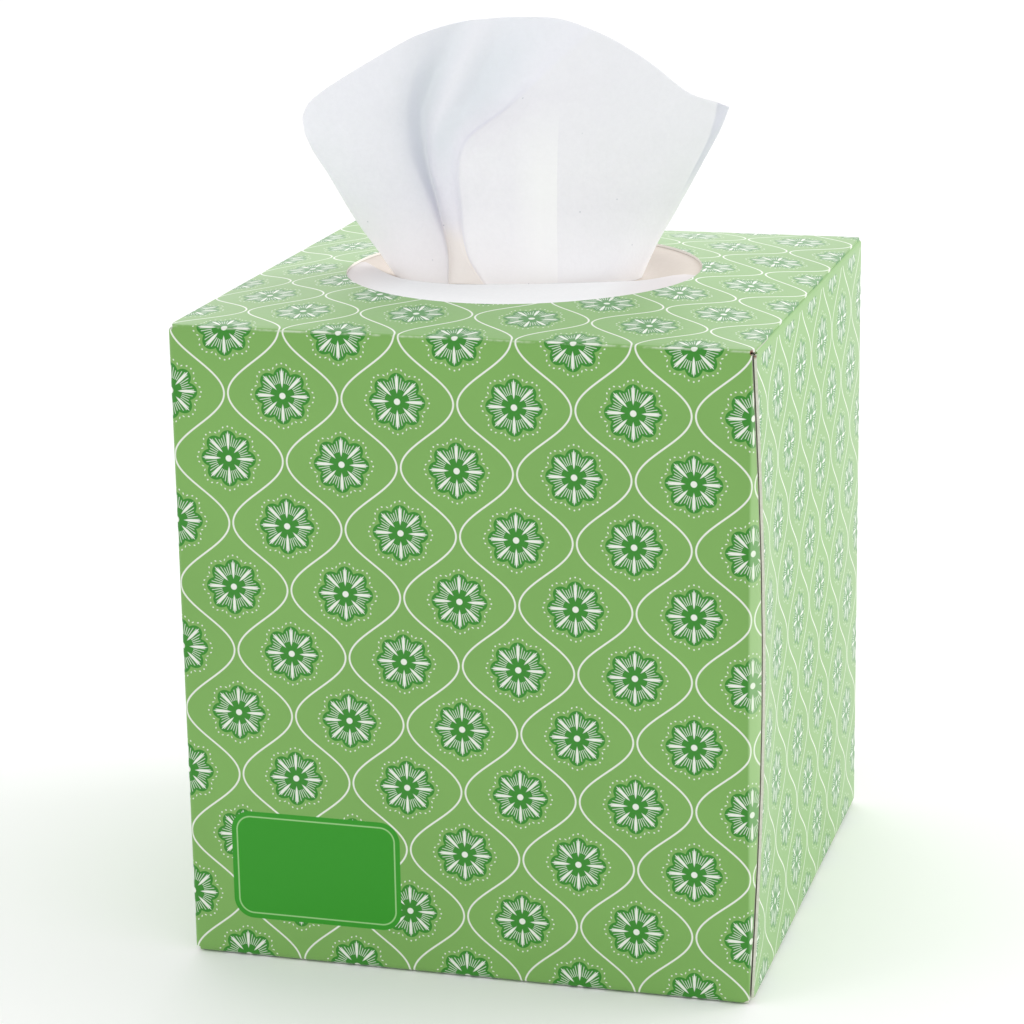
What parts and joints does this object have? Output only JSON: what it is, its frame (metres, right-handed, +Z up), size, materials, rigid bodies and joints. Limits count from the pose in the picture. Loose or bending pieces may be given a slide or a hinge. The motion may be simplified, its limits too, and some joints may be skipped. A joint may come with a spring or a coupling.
{
  "type": "tissue box",
  "caption": "Upright cube-shaped carton of facial tissues with a round opening in its bowed top and one folded sheet standing out of it, ready to be pulled.",
  "frame": {"origin": "middle of the underside", "axes": "+Z up out of the opening, front panel facing -Y, +X to the right seen from the front"},
  "size_m": [0.111, 0.111, 0.1765],
  "materials": {
    "printed_board": "coated paperboard, printed green, satin varnish",
    "tissue": "soft creped two-ply tissue, matte white"
  },
  "bodies": {
    "root": {"carton": "printed_board", "tissue_stack": "tissue", "popup_tissue": "tissue"}
  },
  "joints": []
}
